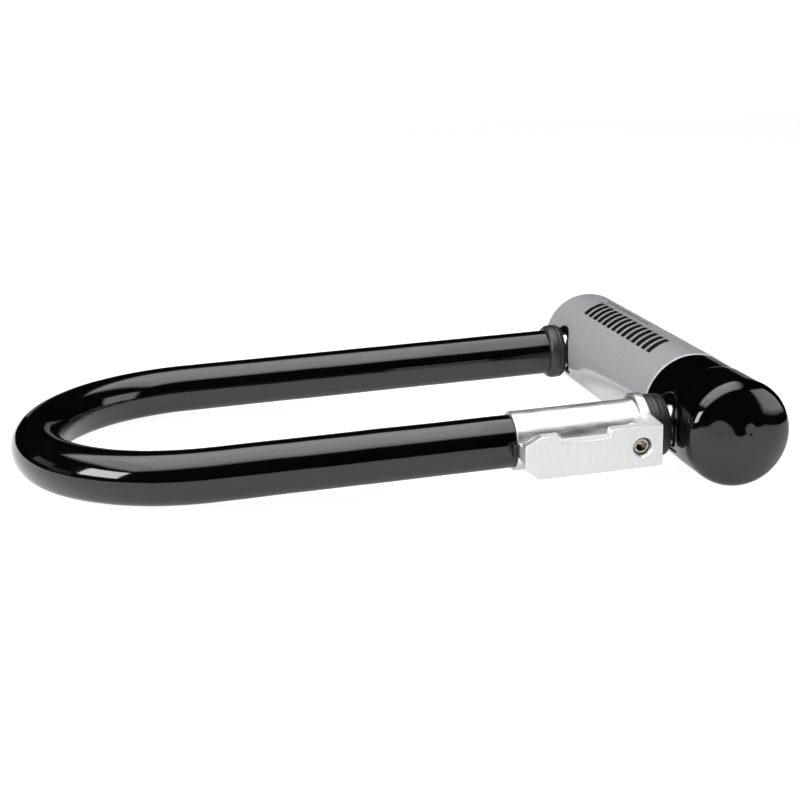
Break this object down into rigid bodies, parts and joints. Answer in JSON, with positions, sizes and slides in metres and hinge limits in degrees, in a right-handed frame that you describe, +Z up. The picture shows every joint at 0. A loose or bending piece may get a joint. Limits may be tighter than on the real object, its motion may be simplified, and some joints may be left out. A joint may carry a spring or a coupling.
{
  "type": "u lock",
  "caption": "Bicycle U-lock: vinyl-coated steel shackle with rubber collars, sliding lock crossbar with sprung keyway lid, and a clamp-on aluminium frame carriage.",
  "frame": {"origin": "centre of the bounding box's base, on the table the lock lies on", "axes": "+X from the bend towards the keyway side of the crossbar, +Y along the crossbar towards the plain grey end, +Z up from the table"},
  "size_m": [0.2259, 0.1476, 0.0325],
  "materials": {
    "polished_steel": "polished, lightly scratched",
    "black_vinyl": "smooth glossy vinyl",
    "collar_rubber": "matte moulded rubber",
    "bare_aluminium": "bright extruded, sawn ends",
    "black_nylon": "satin moulded",
    "screw_steel": "plain stainless",
    "hardened_steel": "ground, hardened",
    "grey_cover": "satin, fine grain",
    "black_cover": "glossy dipped vinyl",
    "zinc_casting": "as cast",
    "brass": "turned"
  },
  "bodies": {
    "shackle": {"shackle_rod": "polished_steel", "shackle_vinyl_coat": "black_vinyl", "near_leg_collar": "collar_rubber", "far_leg_collar": "collar_rubber"},
    "crossbar": {"crossbar_tube": "hardened_steel", "crossbar_grey_cover": "grey_cover", "crossbar_black_end_cover": "black_cover", "near_end_plug": "black_nylon", "far_end_plug": "black_nylon", "near_foot_grommet": "collar_rubber", "far_foot_grommet": "collar_rubber", "near_bolt_guide": "zinc_casting", "far_bolt_guide": "zinc_casting", "guide_roll_pins": "screw_steel", "cylinder_shell": "brass", "cylinder_roll_pin": "screw_steel", "keyway_bezel": "black_nylon", "lid_spring_washer": "screw_steel"},
    "lock_core": {"cylinder_core": "brass", "lock_discs": "brass", "disc_spacers": "screw_steel", "drill_guard_disc": "hardened_steel", "sidebar": "screw_steel", "cam_disc": "hardened_steel", "cam_screw": "screw_steel"},
    "near_bolt": {"near_deadbolt": "hardened_steel", "near_bolt_pin": "screw_steel"},
    "far_bolt": {"far_deadbolt": "hardened_steel", "far_bolt_pin": "screw_steel"},
    "keyway_lid": {"keyway_lid": "black_nylon"},
    "carriage": {"carriage_bracket": "bare_aluminium", "carriage_clamp_shim": "black_nylon"},
    "carriage_screw": {"carriage_set_screw": "screw_steel"}
  },
  "joints": [
    {"name": "crossbar_pull_off", "type": "slide", "parent": "shackle", "child": "crossbar", "axis": [0.9991, 0, 0.0414], "range_m": [0, 0.075]},
    {"name": "key_turn", "type": "hinge", "parent": "crossbar", "child": "lock_core", "pos_m": [0.10163, -0.0004, 0.01646], "axis": [0.9991, 0, 0.0414], "range_deg": [0, 90]},
    {"name": "near_bolt_throw", "type": "slide", "parent": "crossbar", "child": "near_bolt", "axis": [0, -1, 0], "range_m": [0, 0.0051]},
    {"name": "far_bolt_throw", "type": "slide", "parent": "crossbar", "child": "far_bolt", "axis": [0, 1, 0], "range_m": [0, 0.0051]},
    {"name": "lid_turn", "type": "hinge", "parent": "crossbar", "child": "keyway_lid", "pos_m": [0.11062, -0.0004, 0.01683], "axis": [0.9991, 0, 0.0414], "range_deg": [0, 90]},
    {"name": "carriage_shift", "type": "slide", "parent": "shackle", "child": "carriage", "axis": [-0.9991, 0, -0.0414], "range_m": [0, 0.086]},
    {"name": "carriage_screw_turn", "type": "hinge", "parent": "carriage", "child": "carriage_screw", "pos_m": [0.06719, -0.06356, 0.0143], "axis": [0.0022, -0.9986, -0.0523], "range_deg": [0, 360]}
  ],
  "couplings": [
    {"joint": "near_bolt_throw", "follows": "key_turn", "m_per_rad": 0.0031831},
    {"joint": "far_bolt_throw", "follows": "key_turn", "m_per_rad": 0.0031831}
  ]
}
